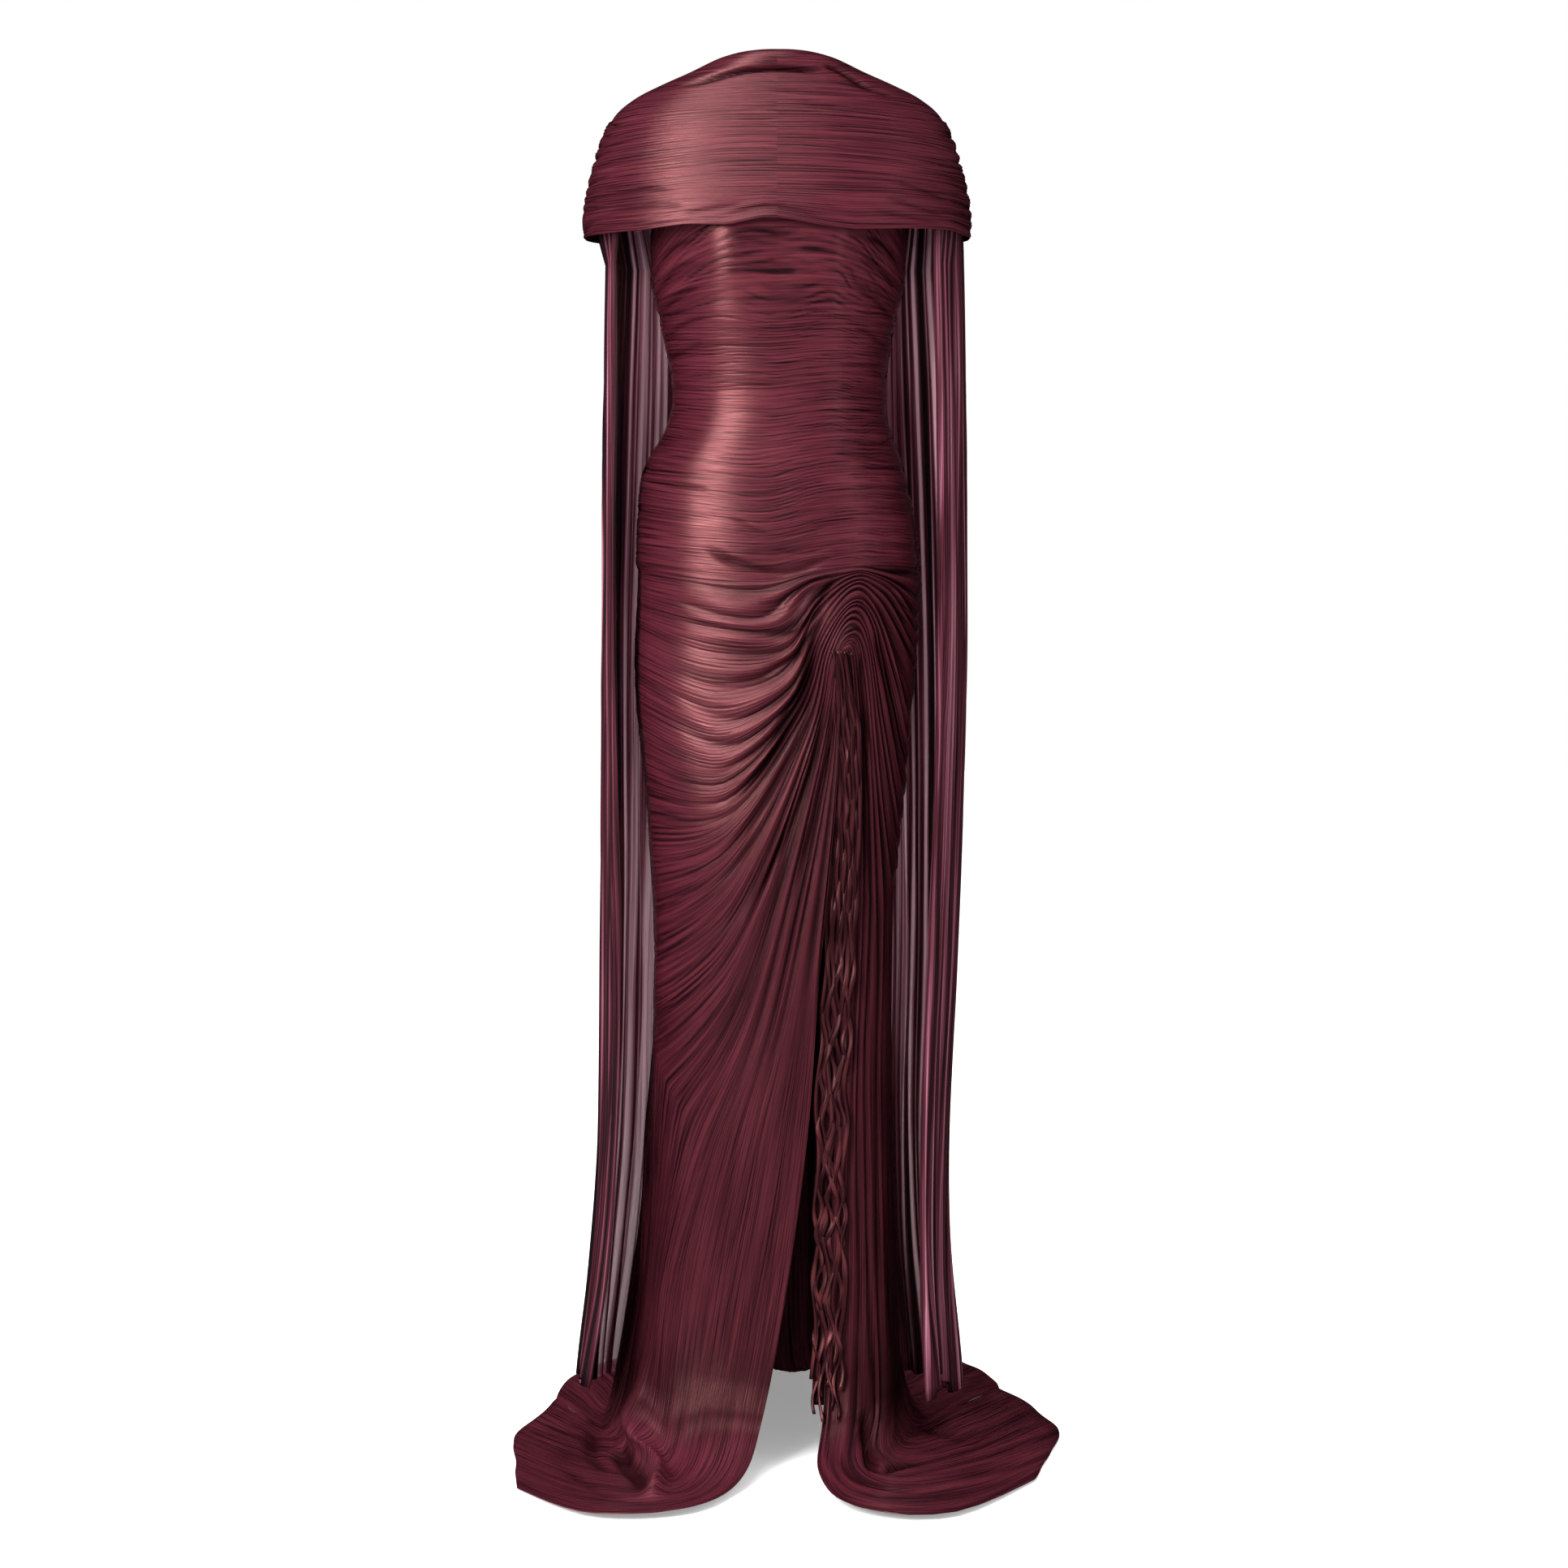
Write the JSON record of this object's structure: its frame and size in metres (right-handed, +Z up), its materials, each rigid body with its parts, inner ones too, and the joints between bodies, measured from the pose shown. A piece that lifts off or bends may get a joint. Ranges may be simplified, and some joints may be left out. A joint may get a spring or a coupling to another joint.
{
  "type": "pleated maxi dress",
  "caption": "Floor-length pleated dress with a shoulder-covering band, long sheer side wings, a knotted drape over a front slit and a train that fans out over the floor.",
  "frame": {"origin": "level of the wearer's shoulders, on the middle line of the body, where the shoulder band hangs", "axes": "+Z up along the dress, the front with the slit faces -Y, +X towards the wearer's left side, which is on the right of the picture; the floor is at z = -1.59 m"},
  "size_m": [0.6488, 0.8959, 1.6488],
  "materials": {
    "wine_pleats": "fine pressed pleats with a soft satin sheen",
    "deep_wine_pleats": "fine pressed pleats with a soft satin sheen, darker in the folds",
    "sheer_pleats": "sheer crinkled chiffon in upright pleats"
  },
  "bodies": {
    "root": {"shoulder_band": "wine_pleats", "bodice_front": "wine_pleats", "bodice_back": "wine_pleats", "skirt_front": "deep_wine_pleats", "skirt_back": "deep_wine_pleats", "left_wing": "sheer_pleats", "right_wing": "sheer_pleats", "slit_ruffle": "wine_pleats"}
  },
  "joints": []
}
